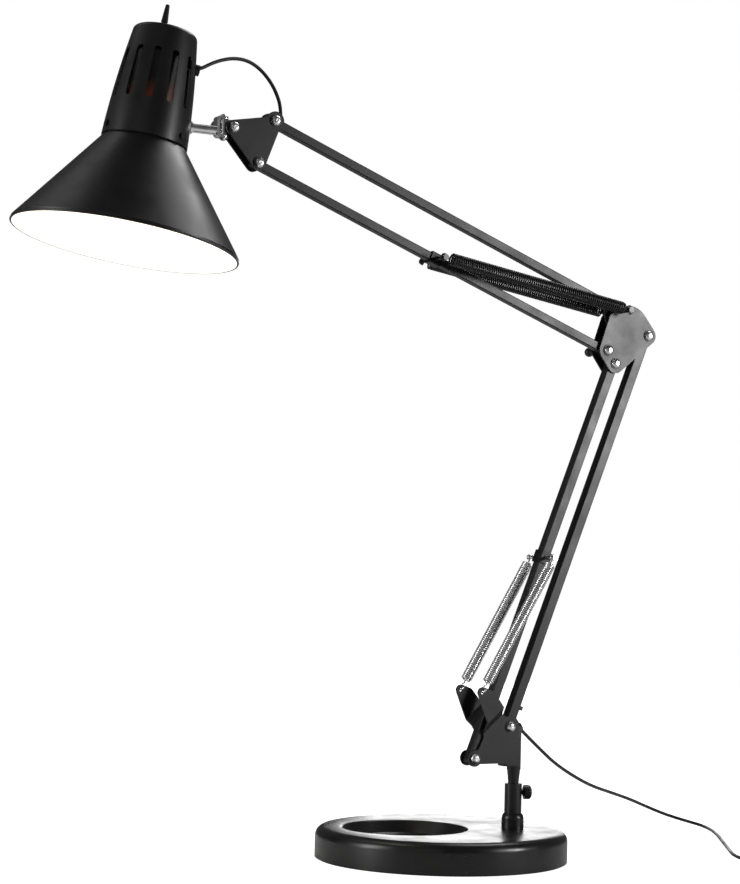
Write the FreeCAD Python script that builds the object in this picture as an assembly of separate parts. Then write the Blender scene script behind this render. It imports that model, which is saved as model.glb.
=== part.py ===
import FreeCAD, Part
import math
import os

# Swing-arm desk lamp. Millimetres, +Z up. The arms swing in the XZ plane, with the head towards -X
# and the elbow towards +X; the near plates are on the -Y side. The origin is where the swivel axis
# of the post meets the surface that the lamp stands on.

V = FreeCAD.Vector
os.makedirs("parts", exist_ok=True)

# ---- driving dimensions -------------------------------------------------------------------------
# round base, turned about the post
base_radius = 100.0
base_height = 24.6
base_edge_round = 7.5
base_skirt_gap = 0.8          # the steel cover ends this far above the table
base_wall = 1.2
base_turn = -19.1             # degrees, direction from the base's centre to the post
post_offset = 57.9            # base centre to post axis
dish_radius = 50.0
dish_offset = 29.7            # base centre to dish centre, away from the post
dish_depth = 10.5
dish_draft = 3.5              # the dish floor is this much smaller in radius
dish_lip_round = 2.2
pad_height = 2.0
weight_height = 9.6
inner_gap = 0.4               # base weight and pad to the cover
# post socket
socket_top = 60.0
socket_radius = 6.9
socket_foot_radius = 8.8
socket_foot_height = 12.0
socket_shoulder = 4.5          # height of the foot's rounded shoulder
socket_shank_radius = 5.6
socket_nut_flats = 18.0
socket_nut_height = 5.5
spigot_radius = 4.5
spigot_length = 28.0
running_gap = 0.06            # radial clearance of every running fit
thumb_height = 53.0
thumb_stem_radius = 1.7
thumb_knob_radius = 5.6
thumb_knob_width = 6.0
thumb_knob_gap = 1.7          # socket tube to knob
thumb_flutes = 16
# bars
arm_length = 344.0            # pivot to pivot, both arms
lower_bar_width = 8.5
upper_bar_width = 7.0
bar_wall = 0.8
bar_corner = 0.9
bar_end = 1.4                 # the bar goes on this far past a full round end
bar_plug = 9.0                # solid end round each pivot hole
lower_arm_lean = 21.65        # degrees from vertical
upper_arm_rise = 20.8         # degrees from horizontal
# pivots
rear_pivot = (-7.8, 105.5)
lower_link = (-32.4, -24.8)   # rear to front pivot, lower parallelogram
elbow_step = (-26.7, 18.9)    # rear lower bar's top pivot to the upper arm's top pivot
upper_link = (-13.1, -33.2)   # top to bottom pivot, upper parallelogram
clamp_step = (-34.7, -8.6)    # top head pivot to the head's clamp bolt
open_pivot_gap = 0.35         # radial clearance where a linkage is left open
# plates
plate_gap = 4.75              # half the space between two plates
plate_wall = 1.6
ear_height = 133.5            # Z of the spring ears
ear_x = -41.0
ear_radius = 4.2
ear_hole_radius = 1.5
foot_top = 97.0
foot_root = 74.0
foot_width = 15.6
foot_rear = 3.6               # X of the foot's rear face
foot_neck_radius = 5.6
foot_tip_radius = 4.2
bracket_rear = 0.5            # X of the bracket plates' rear edge
bracket_bottom = 76.5
# bolts, washers, nuts
bolt_radius = 2.0
bolt_head_radius = 3.9
bolt_head_height = 2.4
dome_flat = 0.7               # radius of the flat at the tip of every dome
washer_radius = 4.7
washer_wall = 0.8
nut_flats = 7.0
nut_height = 3.0
side_gap = 0.1                # inner washer to bar
# springs
spring_side = 16.5            # |Y| of the springs' centre lines
spring_wire_radius = 0.6
lower_spring_radius = 3.9     # to the wire's centre
upper_spring_radius = 4.5
lower_spring_turns = 18
upper_spring_turns = 30
spring_lead = 9.5             # pin or ear to the first curl
hook_gap = 0.35
lower_clip_place = 171.5      # along the front bar from its lower pivot
upper_clip_place = 175.0      # along the bottom bar from its elbow pivot
clip_wall = 1.2
clip_length = 10.0
pin_radius = 1.5
pin_reach = 19.6              # half the length of a spring pin
pin_cap_radius = 2.4
pin_cap_height = 1.0
# knobs
knob_ball_radius = 3.9
knob_reach = 21.6
knob_stem_radius = 2.3
wing_radius = 11.0
wing_wall = 2.2
wing_hub_radius = 4.4
wing_hub_height = 5.0
wing_tip_height = 9.0
wing_turn = 150.0             # degrees, where one wing points
# head swivel
clamp_lobe_radius = 5.6
pan_step = 6.0                # clamp bolt to the pan pin
barrel_radius = 5.0
barrel_half = 4.5
nose_half_height = 5.8
fork_gap = 0.3
fork_wall = 2.0
fork_radius = 3.7
fork_reach = 6.6              # pan pin to the outside of the fork's web
pan_pin_radius = 1.5
pan_head_radius = 2.6
pan_head_height = 1.8
rod_radius = 3.4
rod_height = -3.1             # rod centre above the clamp bolt
neck_reach = 61.2             # pan pin to the shade's axis, at the rod
rod_above_cone = 15.4         # rod centre above the cone, along the shade's axis
rod_collar_radius = 5.0
rod_collar_height = 1.6
rod_nut_flats = 11.0
rod_nut_height = 4.0
# shade, along its own axis from the rim
shade_tilt = 10.0
rim_radius = 84.8
rim_band = 2.0
rim_bead_radius = 0.9
cone_height = 76.0
neck_radius = 32.2
neck_belly_radius = 29.4
neck_top_radius = 24.3
neck_height = 86.0
neck_round = 4.0
sheet_wall = 0.8
collar_height = 8.0           # cone collar inside the neck cover
slot_count = 12
slot_first = 2.0              # degrees
slot_low = 27.0               # above the cone
slot_high = 67.0
slot_width = 5.4
neck_screw_height = 6.0       # above the cone
neck_screw_turn = -58.0
neck_screw_radius = 1.3
neck_screw_head_radius = 2.4
grommet_turn = -13.0
grommet_height = 63.0         # above the cone
grommet_radius = 4.2
grommet_proud = 3.0
# lamp holder, bulb and switch
holder_radius = 18.0
holder_bore = 13.7
holder_height = 22.0          # lower end, above the cone
bulb_cap_radius = 13.2
bulb_cap_length = 24.0
bulb_radius = 27.5
bulb_drop = 24.0              # centre of the globe below the cone's top
bulb_wall = 0.8
switch_width = 14.0
switch_height = 14.0
switch_bush_radius = 3.0
switch_bush_height = 4.5
switch_offset = -2.6
lever_length = 14.5
lever_tip_radius = 1.6
lever_sleeve_radius = 2.6     # the black sleeve's lower end
lever_sleeve_start = 1.2      # bush to sleeve
lever_root_radius = 0.9
lever_pin_radius = 0.3        # the toggle turns on this cross pin
lever_pin_reach = 1.0
# cord
cord_radius = 1.4
cord_hole_gap = 0.35
loop_reach = 54.0             # top head pivot to the loop's first bend, along X
loop_height = 44.5            # top head pivot to the loop's crest
loop_aside = 5.2              # how far the loop starts to the near side
loop_end_place = 7.8          # of the hole in the top bar, from its head pivot
cord_tab_place = 17.8         # up the rear bar from its lower pivot
cord_tab_reach = 4.0
cord_tab_width = 3.0
cord_gap = 0.3                # between the gland's nose and the cord's end
coil_centre = (176.0, -128.0)
coil_turns = 3.0              # turns in each layer
coil_layers = 4
coil_short = 0.75             # of a turn, left off at the end
coil_pitch = 3.3              # between turns, and between layers
coil_inner_radius = 11.0
plug_body_length = 34.0
plug_body_width = 22.0
plug_body_height = 14.0
plug_pin_length = 17.0
plug_pin_spacing = 12.7
plug_pin_width = 6.3
plug_pin_wall = 1.5


# ---- small tools --------------------------------------------------------------------------------
def add(p, q, k=1.0):
    return (p[0] + k * q[0], p[1] + k * q[1])


def unit(p, q):
    d = (q[0] - p[0], q[1] - p[1])
    n = math.hypot(d[0], d[1])
    return (d[0] / n, d[1] / n)


def rod(p, q, radius):
    return Part.makeCylinder(radius, (q - p).Length, p, q - p)


def along_y(place, radius, low, high):
    """A cylinder along Y at (x, z), from y=low to y=high."""
    return Part.makeCylinder(radius, high - low, V(place[0], low, place[1]), V(0, 1, 0))


def prism(wire, low, high):
    """A wire in the XZ plane made a slab from y=low to y=high."""
    face = Part.Face(wire)
    face.translate(V(0, low, 0))
    return face.extrude(V(0, high - low, 0))


def polygon(points):
    return Part.makePolygon([V(x, 0, z) for x, z in points] + [V(points[0][0], 0, points[0][1])])


def hull(circles):
    """The band round circles (x, z, radius), given counterclockwise, as lines and arcs."""
    count = len(circles)
    normals = []
    for i in range(count):
        a = circles[i]
        b = circles[(i + 1) % count]
        dx, dz = b[0] - a[0], b[1] - a[1]
        span = math.hypot(dx, dz)
        dx, dz = dx / span, dz / span
        lean = (a[2] - b[2]) / span
        rise = math.sqrt(1 - lean * lean)
        normals.append((dz * rise + dx * lean, -dx * rise + dz * lean))
    edges = []
    for i in range(count):
        x, z, r = circles[i]
        before, after = normals[i - 1], normals[i]
        mid = (before[0] + after[0], before[1] + after[1])
        size = math.hypot(mid[0], mid[1])
        start = V(x + r * before[0], 0, z + r * before[1])
        middle = V(x + r * mid[0] / size, 0, z + r * mid[1] / size)
        end = V(x + r * after[0], 0, z + r * after[1])
        edges.append(Part.Arc(start, middle, end).toShape())
        x2, z2, r2 = circles[(i + 1) % count]
        edges.append(Part.LineSegment(end, V(x2 + r2 * after[0], 0, z2 + r2 * after[1])).toShape())
    return Part.Wire(edges)


def turned(profile, axis_point=V(0, 0, 0)):
    """A solid of revolution about Z. The profile's (r, z) points close by themselves; a point with
    a third value True is the middle of an arc between its two neighbours."""
    edges = []
    points = [V(p[0], 0, p[1]) for p in profile]
    middle = [len(p) > 2 for p in profile]
    count = len(points)
    i = 0
    while i < count:
        if middle[(i + 1) % count]:
            edges.append(Part.Arc(points[i], points[(i + 1) % count], points[(i + 2) % count]).toShape())
            i += 2
        else:
            edges.append(Part.LineSegment(points[i], points[(i + 1) % count]).toShape())
            i += 1
    solid = Part.Face(Part.Wire(edges)).revolve(V(0, 0, 0), V(0, 0, 1), 360)
    solid.translate(axis_point)
    return solid


def turned_y(profile, place):
    """A solid of revolution about the Y axis through (x, z); the profile is (r, y)."""
    solid = turned(profile)
    solid.rotate(V(0, 0, 0), V(1, 0, 0), -90)
    solid.translate(V(place[0], 0, place[1]))
    return solid


def hexagon(flats, height):
    """A hexagonal prism about Z from z=0."""
    radius = flats / math.sqrt(3)
    corners = [V(radius * math.cos(math.radians(60 * i)), radius * math.sin(math.radians(60 * i)), 0)
               for i in range(7)]
    return Part.Face(Part.makePolygon(corners)).extrude(V(0, 0, height))


def hex_y(place, flats, low, high):
    nut = hexagon(flats, high - low)
    nut.rotate(V(0, 0, 0), V(1, 0, 0), -90)
    nut.translate(V(place[0], low, place[1]))
    return nut


def fused(solids):
    out = solids[0]
    for solid in solids[1:]:
        out = out.fuse(solid)
    return out.removeSplitter()


def cut(shape, tools):
    for tool in tools:
        shape = shape.cut(tool)
    return shape


def arc_edge(start, apex, end):
    """The arc from start to end whose tangents meet at apex, both ends as far from it."""
    chord = (start + end) * 0.5
    half = (end - start).Length / 2
    rise = (apex - chord).Length
    if rise < 1e-7:
        return Part.LineSegment(start, end).toShape()
    turn = math.asin(min(1.0, rise / (apex - start).Length))
    middle = chord + (apex - chord) * (half * math.tan(turn / 2) / rise)
    return Part.Arc(start, middle, end).toShape()


def biarcs(stations):
    """Edges through (point, direction) stations, two tangent arcs or one line between each pair."""
    edges = []
    for (p, t), (q, s) in zip(stations, stations[1:]):
        v = q - p
        if v.cross(t).Length < 1e-6 * v.Length and t.cross(s).Length < 1e-6:
            edges.append(Part.LineSegment(p, q).toShape())
            continue
        a = 2 * (t.dot(s) - 1)
        b = -2 * v.dot(t + s)
        c = v.dot(v)
        if abs(a) < 1e-9:
            d = -c / b
        else:
            d = (-b - math.sqrt(b * b - 4 * a * c)) / (2 * a)
        first, second = p + t * d, q - s * d
        joint = (first + second) * 0.5
        edges.append(arc_edge(p, first, joint))
        edges.append(arc_edge(joint, second, q))
    return edges


def tube(edges, radius):
    """A round tube along tangent edges."""
    path = Part.Wire(edges)
    start = path.Edges[0].valueAt(path.Edges[0].FirstParameter)
    direction = path.Edges[0].tangentAt(path.Edges[0].FirstParameter)
    ring = Part.Wire([Part.makeCircle(radius, start, direction)])
    shell = Part.BRepOffsetAPI.MakePipeShell(path)
    shell.add(ring)
    shell.build()
    shell.makeSolid()
    return shell.shape()


def route_edges(points):
    """Straight runs joined by tangent arcs, each arc as large as its two runs allow."""
    edges = []
    radii = []
    here = points[0]
    for before, corner, after in zip(points, points[1:], points[2:]):
        into, out = corner - before, after - corner
        reach = 0.45 * min(into.Length, out.Length)
        half_turn = into.getAngle(out) / 2
        radii.append(reach / math.tan(half_turn))
        start = corner - into.normalize() * reach
        end = corner + out.normalize() * reach
        edges.append(Part.LineSegment(here, start).toShape())
        edges.append(arc_edge(start, corner, end))
        here = end
    edges.append(Part.LineSegment(here, points[-1]).toShape())
    return edges, radii


def least_gap(edges, radius, apart):
    """The least space between stretches of one tube that are more than apart along it."""
    points = []
    along = []
    travelled = 0.0
    for edge in edges:
        steps = max(2, int(edge.Length / (0.5 * radius)))
        for i in range(steps):
            points.append(edge.getPointByLength(edge.Length * i / steps)
                          if hasattr(edge, "getPointByLength")
                          else edge.valueAt(edge.getParameterByLength(edge.Length * i / steps)))
            along.append(travelled + edge.Length * i / steps)
        travelled += edge.Length
    cell = 4 * radius
    boxes = {}
    for i, p in enumerate(points):
        boxes.setdefault((int(p.x // cell), int(p.y // cell), int(p.z // cell)), []).append(i)
    least = 1e9
    for (bx, by, bz), members in boxes.items():
        near = [j for dx in (-1, 0, 1) for dy in (-1, 0, 1) for dz in (-1, 0, 1)
                for j in boxes.get((bx + dx, by + dy, bz + dz), [])]
        for i in members:
            for j in near:
                if along[j] - along[i] > apart:
                    least = min(least, points[i].distanceToPoint(points[j]))
    return least - 2 * radius


# ---- places -------------------------------------------------------------------------------------
lean = math.radians(lower_arm_lean)
rise = math.radians(upper_arm_rise)
lower_way = (math.sin(lean), math.cos(lean))
upper_way = (-math.cos(rise), math.sin(rise))
front_pivot = add(rear_pivot, lower_link)
elbow_rear = add(rear_pivot, lower_way, arm_length)
elbow_front = add(elbow_rear, lower_link)
elbow_top = add(elbow_rear, elbow_step)
elbow_bottom = add(elbow_top, upper_link)
head_top = add(elbow_top, upper_way, arm_length)
head_bottom = add(head_top, upper_link)
clamp = add(head_top, clamp_step)
pan_x = clamp[0] - pan_step
rod_z = clamp[1] + rod_height
tilt = math.radians(shade_tilt)
rod_place = cone_height + rod_above_cone
neck_top = cone_height + neck_height
neck_screw_place = cone_height + neck_screw_height
grommet_place = cone_height + grommet_height
holder_low = cone_height + holder_height
holder_high = neck_top - sheet_wall - switch_height - 0.05
bulb_centre = cone_height - bulb_drop
rim_centre = V(pan_x - neck_reach - rod_place * math.sin(tilt), 0, rod_z - rod_place * math.cos(tilt))
base_way = V(math.cos(math.radians(base_turn)), math.sin(math.radians(base_turn)), 0)
base_centre = base_way * -post_offset
dish_centre = base_way * -(post_offset + dish_offset)
plate_outer = plate_gap + plate_wall
ear = (ear_x, ear_height)
lower_pin = add(front_pivot, lower_way, lower_clip_place)
upper_pin = add(elbow_bottom, upper_way, upper_clip_place)
to_elbow = (-upper_way[0], -upper_way[1])


def shade_place(shape):
    """Moves a shape from the shade's own frame, rim centre at the origin, to its place."""
    shape.rotate(V(0, 0, 0), V(0, 1, 0), shade_tilt)
    shape.translate(rim_centre)
    return shape


def neck_wall(height):
    """The neck cover's outer radius at a height above the rim."""
    share = (height - cone_height) / (neck_top - neck_round - cone_height)
    straight = neck_radius + (neck_top_radius - neck_radius) * share
    middle = (neck_radius + neck_top_radius) / 2
    return straight + 4 * share * (1 - share) * (neck_belly_radius - middle)


# ---- base ---------------------------------------------------------------------------------------
def base_outline(inset, bottom, top):
    radius = base_radius - inset
    edge = base_edge_round - inset
    corner = (radius - edge + edge * math.sin(math.pi / 4), top - edge + edge * math.cos(math.pi / 4), True)
    return turned([(0, bottom), (radius, bottom), (radius, top - edge), corner, (radius - edge, top), (0, top)],
                  base_centre)


def dish_bowl(outset):
    """The dish's hollow, or with an outset the outside of its pressed wall."""
    floor = base_height - dish_depth - outset
    floor_radius = dish_radius - dish_draft + outset
    top_radius = dish_radius + outset
    bend = dish_draft + outset
    middle = (floor_radius - bend * (1 - math.sin(math.pi / 4)), floor + bend * (1 - math.cos(math.pi / 4)), True)
    return turned([(0, floor), (floor_radius - bend, floor), middle, (floor_radius, floor + bend),
                   (top_radius, base_height), (top_radius, base_height + 5), (0, base_height + 5)], dish_centre)


def base_cover():
    outer = base_outline(0, base_skirt_gap, base_height)
    hollow = base_outline(base_wall, base_skirt_gap - 1, base_height - base_wall).cut(dish_bowl(base_wall))
    shell = outer.cut(dish_bowl(0)).cut(hollow)
    lips = [e for e in shell.Edges
            if abs(e.BoundBox.ZMin - base_height) < 0.01 and abs(e.BoundBox.ZLength) < 0.01
            and abs(e.BoundBox.XLength - 2 * dish_radius) < 0.5]
    shell = shell.makeFillet(dish_lip_round, lips)
    return shell.cut(Part.makeCylinder(socket_shank_radius + inner_gap, base_height + 1, V(0, 0, 5)))


def base_weight():
    slab = Part.makeCylinder(base_radius - base_wall - inner_gap, weight_height, base_centre + V(0, 0, pad_height))
    return slab


def base_pad():
    return Part.makeCylinder(base_radius - base_wall - inner_gap, pad_height, base_centre)


def post_socket():
    """The tube that the swivel drops into, with a thicker foot and a threaded shank under the cover."""
    foot_end = base_height + socket_foot_height
    shoulder = (socket_radius + (socket_foot_radius - socket_radius) * 0.75, foot_end - 0.45 * socket_shoulder, True)
    shank_end = base_height - base_wall - socket_nut_height - 1.5
    body = turned([(0, shank_end), (socket_shank_radius, shank_end), (socket_shank_radius, base_height),
                   (socket_foot_radius, base_height), (socket_foot_radius, foot_end - socket_shoulder), shoulder,
                   (socket_radius, foot_end), (socket_radius, socket_top), (0, socket_top)])
    bore = Part.makeCylinder(spigot_radius + running_gap, spigot_length + 1,
                             V(0, 0, socket_top - spigot_length - 0.5))
    screw_hole = rod(V(0, 0, thumb_height), V(0, 0, thumb_height) + base_way * (2 * socket_radius),
                     thumb_stem_radius + running_gap)
    return body.cut(bore).cut(screw_hole)


def socket_nut():
    top = base_height - base_wall
    nut = hexagon(socket_nut_flats, socket_nut_height)
    nut.translate(V(0, 0, top - socket_nut_height))
    return nut.cut(Part.makeCylinder(socket_shank_radius + 0.02, 40, V(0, 0, 0)))


def thumb_screw():
    """A fluted knob on a short screw, made about +X and turned to the base's rear."""
    tip = spigot_radius + running_gap + 0.15
    start = socket_radius + thumb_knob_gap
    stem = Part.makeCylinder(thumb_stem_radius, start - tip + 0.5, V(tip, 0, 0), V(1, 0, 0))
    collar = Part.makeCylinder(thumb_stem_radius + 1.4, 1.0, V(start - 0.9, 0, 0), V(1, 0, 0))
    knob = Part.makeCylinder(thumb_knob_radius, thumb_knob_width, V(start, 0, 0), V(1, 0, 0))
    rims = [e for e in knob.Edges if e.Length > 3 * thumb_knob_radius]
    outer_rim = [e for e in rims if e.BoundBox.XMin > start + thumb_knob_width / 2]
    knob = knob.makeFillet(thumb_knob_width * 0.4, outer_rim)
    for i in range(thumb_flutes):
        turn = 2 * math.pi * i / thumb_flutes
        place = V(start - 1, (thumb_knob_radius + 0.35) * math.cos(turn), (thumb_knob_radius + 0.35) * math.sin(turn))
        knob = knob.cut(Part.makeCylinder(0.8, thumb_knob_width + 2, place, V(1, 0, 0)))
    screw = fused([stem, collar, knob])
    screw.rotate(V(0, 0, 0), V(0, 0, 1), base_turn)
    screw.translate(V(0, 0, thumb_height))
    return screw


# ---- swivel and lower bracket -------------------------------------------------------------------
def turret_foot():
    """The spigot in the post socket, a taper, and the block that the two plates are brazed to."""
    spigot_low = socket_top - spigot_length
    shank = turned([(0, spigot_low), (spigot_radius - 0.6, spigot_low), (spigot_radius, spigot_low + 0.6),
                    (spigot_radius, socket_top + 0.3), (foot_tip_radius, socket_top + 0.3),
                    (foot_neck_radius, foot_root), (0, foot_root)])
    block = Part.makeBox(foot_width, 2 * plate_gap, foot_top - foot_root,
                         V(foot_rear - foot_width, -plate_gap, foot_root))
    skirt = Part.makeCylinder(foot_neck_radius, 3.0, V(0, 0, foot_root - 3))
    block = block.fuse(skirt.common(Part.makeBox(30, 2 * plate_gap, 30, V(-15, -plate_gap, foot_root - 15))))
    block = block.cut(along_y(rear_pivot, lower_bar_width / 2 + bar_end + 0.5, -plate_gap - 1, plate_gap + 1))
    return fused([shank, block])


def bracket_plate(side):
    """Pressed plate; its upper part is joggled outwards to the spring ear. side is -1 near, +1 far."""
    rear_lobe = rear_pivot[0] - bracket_rear
    outline = polygon([
        (bracket_rear, bracket_bottom - 1.5), (bracket_rear, rear_pivot[1]), (rear_pivot[0] + 4, rear_pivot[1] + 7.2),
        (rear_pivot[0] - 4, rear_pivot[1] + 7.9), (rear_pivot[0] - 9, rear_pivot[1] + 10.5),
        (ear_x + 17, ear_height - 7.5), (ear_x + 10, ear_height + 1), (ear_x + 2, ear_height + 4),
        (ear_x - 3.6, ear_height - 2.2), (ear_x + 2.2, ear_height - 16), (ear_x + 7.6, ear_height - 28),
        (ear_x + 8.6, ear_height - 36), (front_pivot[0] + 3.5, front_pivot[1] + 7.5),
        (front_pivot[0] - 2, front_pivot[1] + 5.8), (front_pivot[0], bracket_bottom), (-13, bracket_bottom),
        (-9, bracket_bottom - 1.5)])
    solid = fused([prism(outline, -30, 30),
                   along_y(rear_pivot, -rear_lobe, -30, 30),
                   along_y(front_pivot, 6.2, -30, 30),
                   along_y(ear, ear_radius, -30, 30)])
    # the bent sheet, drawn across the bend and swept along it
    bend_start = (-31.0, 103.0)
    bend_way = unit(bend_start, (-16.0, 116.0))
    across = (-bend_way[1], bend_way[0])
    inner, outer = plate_gap, plate_outer
    ear_in, ear_out = spring_side - plate_wall / 2, spring_side + plate_wall / 2
    run = 8.5
    section = [(-80, inner), (0, inner), (run, ear_in), (80, ear_in), (80, ear_out), (run - 0.8, ear_out),
               (-0.8, outer), (-80, outer)]
    corners = []
    for along, height in section:
        place = add(add(bend_start, across, along), bend_way, -120)
        corners.append(V(place[0], side * height, place[1]))
    sheet = Part.Face(Part.makePolygon(corners + [corners[0]])).extrude(V(bend_way[0] * 240, 0, bend_way[1] * 240))
    plate = solid.common(sheet)
    holes = [along_y(p, bolt_radius + 0.02, -30, 30) for p in (rear_pivot, front_pivot)]
    holes.append(along_y(ear, ear_hole_radius, -30, 30))
    return cut(plate, holes)


def bolt(place, low, high):
    """A domed bolt on -Y with its shank to y=high; low is the face that its head sits on."""
    head = turned_y([(0, low), (bolt_head_radius, low), (bolt_head_radius, low - 0.6),
                     (bolt_head_radius * 0.72, low - bolt_head_height * 0.8, True),
                     (dome_flat, low - bolt_head_height), (0, low - bolt_head_height)], place)
    return fused([head, along_y(place, bolt_radius, low - 0.1, high)])


def bolts(places):
    low = -plate_outer - washer_wall
    high = plate_outer + washer_wall + nut_height + 1.0
    return Part.makeCompound([bolt(p, low, high) for p in places])


def nuts(places):
    low = plate_outer + washer_wall
    return Part.makeCompound([hex_y(p, nut_flats, low, low + nut_height).cut(along_y(p, bolt_radius + 0.02, 0, 40))
                              for p in places])


def washers(places, outer_places):
    """places are (pivot, bar width): a thin one each side of the bar; outer_places get one under
    the bolt head and one under the nut."""
    rings = []
    for place, width in places:
        for side in (-1, 1):
            ends = sorted((side * plate_gap, side * (width / 2 + side_gap)))
            rings.append((place, ends[0], ends[1]))
    for place in outer_places:
        rings.append((place, -plate_outer - washer_wall, -plate_outer))
        rings.append((place, plate_outer, plate_outer + washer_wall))
    return Part.makeCompound([along_y(p, washer_radius, a, b).cut(along_y(p, bolt_radius + 0.02, a - 1, b + 1))
                              for p, a, b in rings])


# ---- bars ---------------------------------------------------------------------------------------
def bar(start, way, width, end_holes, side_holes, pin_place):
    """A square tube from pivot to pivot. end_holes are the two pivot holes' radii; side_holes are
    (place along, side +1 or -1, lean) openings for the cord; pin_place is a cross hole."""
    half = width / 2
    reach = half + bar_end
    section = Part.makeBox(arm_length + 2 * reach, width, width, V(-reach, -half, -half))
    long_edges = [e for e in section.Edges if abs(e.BoundBox.XLength - (arm_length + 2 * reach)) < 0.01]
    section = section.makeFillet(bar_corner, long_edges)
    ends = fused([Part.makeBox(arm_length + 2 * bar_end, width + 2, width, V(-bar_end, -half - 1, -half)),
                  along_y((-bar_end, 0), half, -half - 1, half + 1),
                  along_y((arm_length + bar_end, 0), half, -half - 1, half + 1)])
    body = section.common(ends)
    inner = width - 2 * bar_wall
    hollow = Part.makeBox(arm_length - 2 * (bar_plug - 2), inner, inner, V(bar_plug - 2, -inner / 2, -inner / 2))
    tools = [hollow, along_y((0, 0), end_holes[0], -half - 1, half + 1),
             along_y((arm_length, 0), end_holes[1], -half - 1, half + 1)]
    for place, side, lean in side_holes:
        tools.append(Part.makeCylinder(cord_radius + cord_hole_gap, 2 * width, V(place, 0, 0),
                                       V(math.sin(lean), 0, side * math.cos(lean))))
    if pin_place:
        tools.append(along_y((pin_place, 0), pin_radius + 0.02, -half - 1, half + 1))
    body = cut(body, tools)
    body.rotate(V(0, 0, 0), V(0, 1, 0), -math.degrees(math.atan2(way[1], way[0])))
    body.translate(V(start[0], 0, start[1]))
    return body


def rear_bar():
    """The rear lower bar, with the small tab on its back that the cord is led past."""
    body = bar(rear_pivot, lower_way, lower_bar_width, (low_fit, low_fit), [(arm_length - 12.6, 1, 0)], None)
    low = -lower_bar_width / 2 - cord_tab_reach
    tab = Part.makeBox(cord_tab_width, cord_tab_width, cord_tab_reach + 0.3,
                       V(cord_tab_place - cord_tab_width / 2, -cord_tab_width / 2, low))
    tab.rotate(V(0, 0, 0), V(0, 1, 0), -math.degrees(math.atan2(lower_way[1], lower_way[0])))
    tab.translate(V(rear_pivot[0], 0, rear_pivot[1]))
    return fused([body, tab])


def spring_clip(pin, way, width):
    """A folded sleeve round the bar at the spring pin."""
    half = width / 2 + 0.05
    outer = Part.makeBox(clip_length, 2 * (half + clip_wall), 2 * (half + clip_wall),
                         V(-clip_length / 2, -half - clip_wall, -half - clip_wall))
    outer = outer.makeFillet(1.1, [e for e in outer.Edges if abs(e.BoundBox.XLength - clip_length) < 0.01])
    sleeve = outer.cut(Part.makeBox(clip_length + 2, 2 * half, 2 * half, V(-clip_length / 2 - 1, -half, -half)))
    sleeve = sleeve.cut(along_y((0, 0), pin_radius + 0.02, -30, 30))
    sleeve.rotate(V(0, 0, 0), V(0, 1, 0), -math.degrees(math.atan2(way[1], way[0])))
    sleeve.translate(V(pin[0], 0, pin[1]))
    return sleeve


def spring_pin(place, radius):
    caps = [along_y(place, pin_cap_radius, pin_reach - pin_cap_height, pin_reach),
            along_y(place, pin_cap_radius, -pin_reach, -pin_reach + pin_cap_height)]
    return fused([along_y(place, radius, -pin_reach, pin_reach)] + caps)


# ---- springs ------------------------------------------------------------------------------------
def hook_stations(centre, way, across, radius):
    """Three quarters of a ring about centre, ending where the wire leaves towards way."""
    stations = []
    for quarter in (3, 2, 1, 0):
        turn = math.radians(90 * quarter + 0)
        point = centre + (way * math.cos(turn) + across * math.sin(turn)) * radius
        direction = way * math.sin(turn) + across * (-math.cos(turn))
        stations.append((point, direction))
    return stations


def spring_edges(start, end, start_across, end_across, start_radius, end_radius, coil_radius, turns):
    """Wire from a hook round start to a hook round end. Each hook's ring lies in the plane of the
    spring's line and its across direction."""
    way = (end - start).normalize()
    side = V(0, 1, 0)
    up = way.cross(side)
    first = hook_stations(start, way, start_across, start_radius)
    length = (end - start).Length
    low, high = spring_lead, length - spring_lead
    pitch = (high - low) / turns
    slope = pitch / (2 * math.pi)
    scale = math.hypot(coil_radius, slope)
    coil = []
    for i in range(2 * turns + 1):
        turn = math.pi * i
        radial = side * math.cos(turn) + up * math.sin(turn)
        around = up * math.cos(turn) - side * math.sin(turn)
        point = start + way * (low + pitch * i / 2) + radial * coil_radius
        coil.append((point, around * (coil_radius / scale) + way * (slope / scale)))
    last = [(p, t * -1) for p, t in reversed(hook_stations(end, way * -1, end_across, end_radius))]
    lead = (low - start_radius) * 0.4
    leave = (start + way * (start_radius + lead), way)
    arrive = (end - way * (end_radius + lead), way)
    ring_end = (first[-1][0], first[-1][1])
    return biarcs(first[:-1] + [ring_end]) + biarcs([ring_end, leave] + coil + [arrive, last[0]]) + biarcs(last)


def springs(start, end, start_across, end_across, start_radius, end_radius, coil_radius, turns):
    pair = []
    for side in (-1, 1):
        a = V(start[0], side * spring_side, start[1])
        b = V(end[0], side * spring_side, end[1])
        edges = spring_edges(a, b, start_across(b - a), end_across(b - a), start_radius, end_radius,
                             coil_radius, turns)
        pair.append(tube(edges, spring_wire_radius))
        if side < 0:
            print("spring of", turns, "curls, least gap to itself",
                  round(least_gap(edges, spring_wire_radius, 4 * spring_wire_radius + 3), 2))
    return Part.makeCompound(pair)


def in_plane(way):
    return way.normalize().cross(V(0, 1, 0))


def lower_springs():
    # the lower hook goes through the ear, so its ring stands across the ear's plate
    ring = ear_radius - ear_hole_radius + spring_wire_radius
    way = unit(ear, lower_pin)
    start = add(ear, way, ring)
    return springs(start, lower_pin, lambda w: V(0, 1, 0), in_plane, ring,
                   pin_radius + hook_gap + spring_wire_radius, lower_spring_radius, lower_spring_turns)


def upper_springs():
    ring = pin_radius + hook_gap + spring_wire_radius
    anchor = bolt_radius + hook_gap + spring_wire_radius
    return springs(upper_pin, elbow_top, in_plane, in_plane, ring, anchor, upper_spring_radius, upper_spring_turns)


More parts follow.
